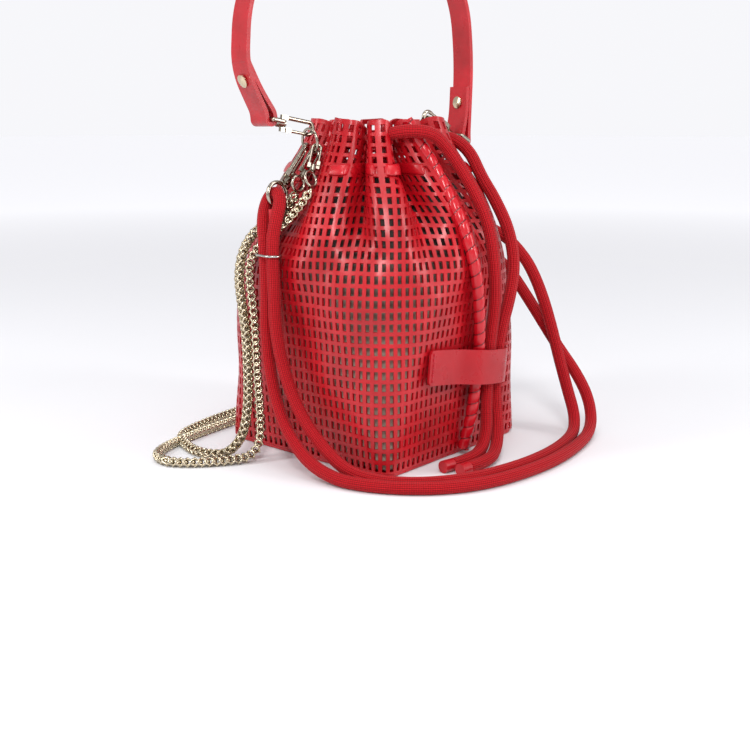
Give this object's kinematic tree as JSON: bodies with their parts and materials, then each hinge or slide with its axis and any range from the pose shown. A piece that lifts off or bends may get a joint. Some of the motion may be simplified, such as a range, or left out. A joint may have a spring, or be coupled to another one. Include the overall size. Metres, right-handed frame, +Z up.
{
  "type": "bucket bag",
  "caption": "Drawstring bucket bag in perforated leather with a wrapped seam, a hooked top handle, a doubled shoulder cord and a chain.",
  "frame": {"origin": "centre of the square base at floor level", "axes": "+Z up towards the mouth; +X to the right, along the base edge to the right of the wrapped seam; -Y faces the flat front of that seam"},
  "size_m": [0.2856, 0.287, 0.3942],
  "materials": {
    "body_leather": "glossy",
    "trim_leather": "glossy",
    "cord_knit": "matte",
    "stitch_thread": "matte",
    "core_fibre": "matte",
    "lining_fabric": "matte",
    "board": "matte",
    "hardware_metal": "polished",
    "rivet_metal": "polished",
    "ring_metal": "polished",
    "chain_metal": "polished"
  },
  "bodies": {
    "bag": {"body_shell": "body_leather", "inner_pouch": "lining_fabric", "base_panel": "trim_leather", "base_board": "board", "base_welt": "trim_leather", "seam_core": "core_fibre", "seam_lace": "trim_leather", "keeper_label": "trim_leather", "label_stitches": "stitch_thread", "neck_lace": "body_leather", "ring_left": "hardware_metal", "ring_right": "hardware_metal", "ring_tab_left": "trim_leather", "ring_tab_right": "trim_leather", "shoulder_cord": "cord_knit", "cord_end_sleeve": "trim_leather", "cord_tab": "trim_leather", "drawstring_neck": "cord_knit", "drawstring_front": "cord_knit", "drawstring_back": "cord_knit", "drawstring_tip_front": "trim_leather", "drawstring_tip_back": "trim_leather", "chain": "chain_metal", "cord_hook_left_eye": "hardware_metal", "cord_hook_right_eye": "hardware_metal", "chain_clasp_front_body": "hardware_metal", "chain_clasp_front_pin": "hardware_metal", "chain_clasp_front_eye": "hardware_metal", "chain_clasp_back_body": "hardware_metal", "chain_clasp_back_pin": "hardware_metal", "chain_clasp_back_eye": "hardware_metal"},
    "handle": {"handle_strap": "trim_leather", "rivet_posts": "rivet_metal", "rivet_caps_outer": "rivet_metal", "rivet_caps_inner": "rivet_metal", "handle_hook_left_eye": "hardware_metal", "handle_hook_right_eye": "hardware_metal"},
    "handle_hook_left": {"handle_hook_left_body": "hardware_metal", "handle_hook_left_pin": "hardware_metal"},
    "handle_hook_left_gate": {"handle_hook_left_gate": "hardware_metal"},
    "handle_hook_right": {"handle_hook_right_body": "hardware_metal", "handle_hook_right_pin": "hardware_metal"},
    "handle_hook_right_gate": {"handle_hook_right_gate": "hardware_metal"},
    "cord_hook_left": {"cord_hook_left_body": "hardware_metal", "cord_hook_left_pin": "hardware_metal"},
    "cord_hook_left_gate": {"cord_hook_left_gate": "hardware_metal"},
    "cord_hook_right": {"cord_hook_right_body": "hardware_metal", "cord_hook_right_pin": "hardware_metal"},
    "cord_hook_right_gate": {"cord_hook_right_gate": "hardware_metal"},
    "chain_clasp_front_gate": {"chain_clasp_front_gate": "hardware_metal"},
    "chain_clasp_back_gate": {"chain_clasp_back_gate": "hardware_metal"},
    "gather_ring": {"gather_ring": "ring_metal"}
  },
  "joints": [
    {"name": "handle_swing", "type": "hinge", "parent": "bag", "child": "handle", "pos_m": [-0.05907, 0.00959, 0.227], "axis": [0.9816, -0.1731, 0.0801], "range_deg": [-70, 70]},
    {"name": "handle_hook_left_swivel", "type": "hinge", "parent": "handle", "child": "handle_hook_left", "pos_m": [-0.08407, 0.014, 0.24006], "axis": [-0.9716, 0.1713, 0.1634], "range_deg": [-15, 15]},
    {"name": "handle_hook_left_gate_spring", "type": "hinge", "parent": "handle_hook_left", "child": "handle_hook_left_gate", "pos_m": [-0.07756, 0.01285, 0.2347], "axis": [0.1736, 0.9848, 0], "range_deg": [-12, 0], "stiffness_Nm_per_rad": 0.02, "springref_deg": 5.73},
    {"name": "handle_hook_right_swivel", "type": "hinge", "parent": "handle", "child": "handle_hook_right", "pos_m": [0.07217, -0.01355, 0.23308], "axis": [0.8662, -0.1527, -0.4757], "range_deg": [-15, 15]},
    {"name": "handle_hook_right_gate_spring", "type": "hinge", "parent": "handle_hook_right", "child": "handle_hook_right_gate", "pos_m": [0.06773, -0.01277, 0.24029], "axis": [0.1736, 0.9848, 0], "range_deg": [-12, 0], "stiffness_Nm_per_rad": 0.02, "springref_deg": 5.73},
    {"name": "cord_hook_left_swivel", "type": "hinge", "parent": "bag", "child": "cord_hook_left", "pos_m": [-0.07702, 0.0161, 0.20054], "axis": [-0.6876, -0.007, -0.726], "range_deg": [-15, 15]},
    {"name": "cord_hook_left_gate_spring", "type": "hinge", "parent": "cord_hook_left", "child": "cord_hook_left_gate", "pos_m": [-0.06847, 0.01907, 0.20403], "axis": [-0.4442, 0.795, 0.413], "range_deg": [-12, 0], "stiffness_Nm_per_rad": 0.02, "springref_deg": 5.73},
    {"name": "cord_hook_right_swivel", "type": "hinge", "parent": "bag", "child": "cord_hook_right", "pos_m": [0.06987, 0.00802, 0.21026], "axis": [0.5961, 0.3919, -0.7008], "range_deg": [-15, 15]},
    {"name": "cord_hook_right_gate_spring", "type": "hinge", "parent": "cord_hook_right", "child": "cord_hook_right_gate", "pos_m": [0.06855, 0.00229, 0.21797], "axis": [0.2083, 0.7674, 0.6064], "range_deg": [-12, 0], "stiffness_Nm_per_rad": 0.02, "springref_deg": 5.73},
    {"name": "chain_clasp_front_gate_spring", "type": "hinge", "parent": "bag", "child": "chain_clasp_front_gate", "pos_m": [-0.06523, -0.00436, 0.212], "axis": [0.4589, 0.6635, -0.5909], "range_deg": [-12, 0], "stiffness_Nm_per_rad": 0.02, "springref_deg": 5.73},
    {"name": "chain_clasp_back_gate_spring", "type": "hinge", "parent": "bag", "child": "chain_clasp_back_gate", "pos_m": [-0.06534, 0.00333, 0.20753], "axis": [0.3948, 0.8656, -0.3078], "range_deg": [-12, 0], "stiffness_Nm_per_rad": 0.02, "springref_deg": 5.73},
    {"name": "gather_ring_slide", "type": "slide", "parent": "bag", "child": "gather_ring", "axis": [-0.0585, -0.0877, -0.9944], "range_m": [-0.001, 0.004]}
  ]
}
